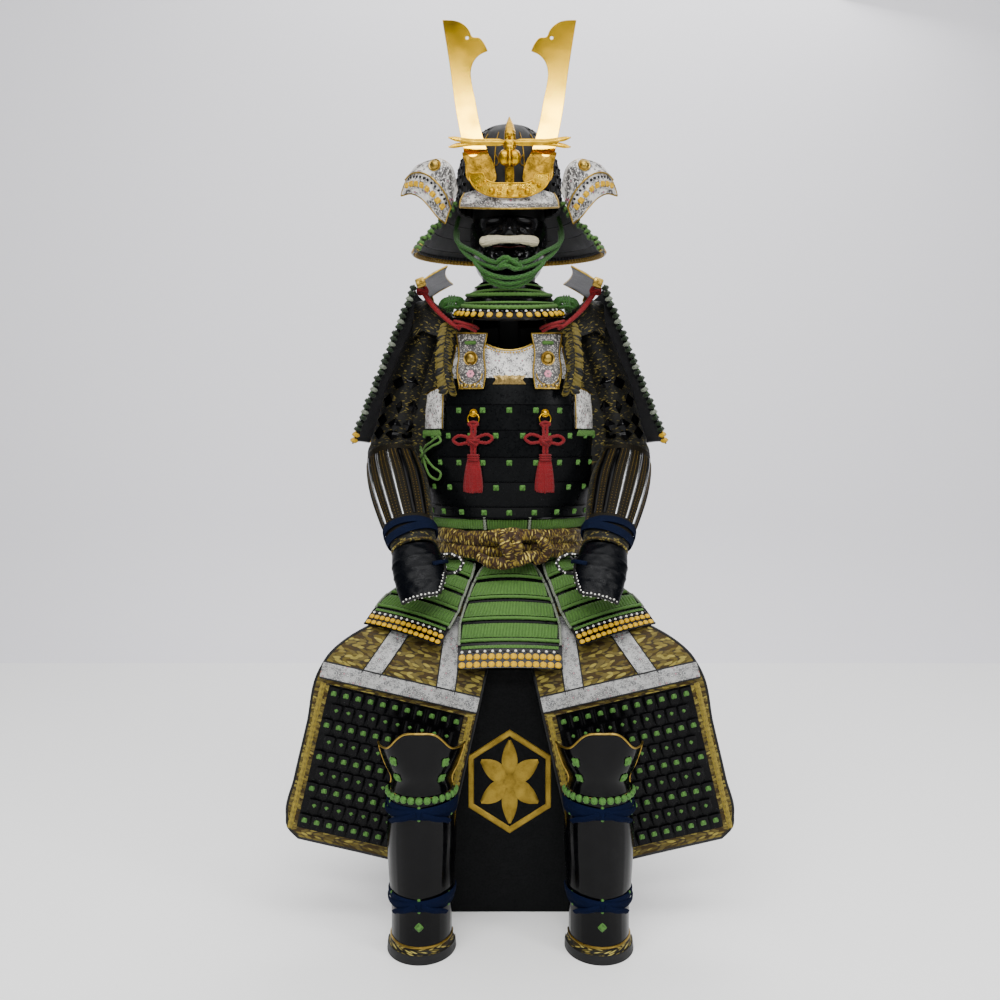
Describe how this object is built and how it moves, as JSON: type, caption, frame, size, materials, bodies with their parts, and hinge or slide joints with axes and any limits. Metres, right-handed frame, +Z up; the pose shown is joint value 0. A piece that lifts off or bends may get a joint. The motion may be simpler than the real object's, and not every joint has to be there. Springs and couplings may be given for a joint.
{
  "type": "samurai armour on an armour box with a head form",
  "caption": "Samurai armour set out as if seated: horned helmet, mask, cuirass, laced skirt and shoulder guards, sleeves, thigh and shin guards, on its black box and head form.",
  "frame": {"origin": "centre of the underside of the armour box, on the floor", "axes": "+Z up; -Y is the front of the armour; +X is the wearer's left side"},
  "size_m": [0.7946, 0.6352, 1.668],
  "materials": {
    "black_lacquer": "gloss black lacquer",
    "box_lacquer": "satin black lacquer over wood",
    "stand_paint": "smooth black paint over wood",
    "gilt": "polished gilt",
    "printed_leather": "printed leather over plate",
    "grey_leather": "smooth grey leather",
    "green_lacing": "braided green lacing over lacquered lames",
    "green_cord": "braided cord",
    "brocade": "olive and gold brocade"
  },
  "bodies": {
    "root": {"box_body": "box_lacquer", "box_lid": "box_lacquer", "box_ornament": "gilt", "stand_and_head": "stand_paint", "helmet_bowl": "black_lacquer", "helmet_visor": "printed_leather", "neck_lame_1": "black_lacquer", "neck_lame_2": "black_lacquer", "neck_lame_3": "black_lacquer", "neck_lame_4": "black_lacquer", "turn_back_left": "printed_leather", "turn_back_right": "printed_leather", "horn_plate": "gilt", "horn_left": "gilt", "horn_right": "gilt", "dragonfly_crest": "gilt", "face_mask": "black_lacquer", "throat_lame_1": "green_lacing", "throat_lame_2": "green_lacing", "throat_lame_3": "green_lacing", "chin_cord": "green_cord", "cuirass_front": "black_lacquer", "cuirass_back": "black_lacquer", "chest_plate": "printed_leather", "underarm_plate_left": "printed_leather", "underarm_plate_right": "printed_leather", "shoulder_strap_left": "brocade", "shoulder_strap_right": "brocade", "chest_flap_left": "printed_leather", "chest_flap_right": "printed_leather", "belt": "brocade", "tasset_front": "green_lacing", "tasset_front_left": "green_lacing", "tasset_side_left": "green_lacing", "tasset_back_left": "green_lacing", "tasset_back_right": "green_lacing", "tasset_side_right": "green_lacing", "tasset_front_right": "green_lacing", "shoulder_guard_left": "black_lacquer", "shoulder_guard_right": "black_lacquer", "shoulder_cap_left": "grey_leather", "shoulder_cap_right": "grey_leather", "sleeve_upper_left": "brocade", "sleeve_upper_right": "brocade", "sleeve_forearm_left": "brocade", "sleeve_forearm_right": "brocade", "forearm_guard_left": "black_lacquer", "forearm_guard_right": "black_lacquer", "hand_guard_left": "black_lacquer", "hand_guard_right": "black_lacquer", "thigh_cloth_left": "brocade", "thigh_cloth_right": "brocade", "thigh_scales_left": "black_lacquer", "thigh_scales_right": "black_lacquer", "shin_shell_left": "black_lacquer", "shin_shell_right": "black_lacquer", "knee_plate_left": "black_lacquer", "knee_plate_right": "black_lacquer", "shin_lining_left": "brocade", "shin_lining_right": "brocade"}
  },
  "joints": []
}
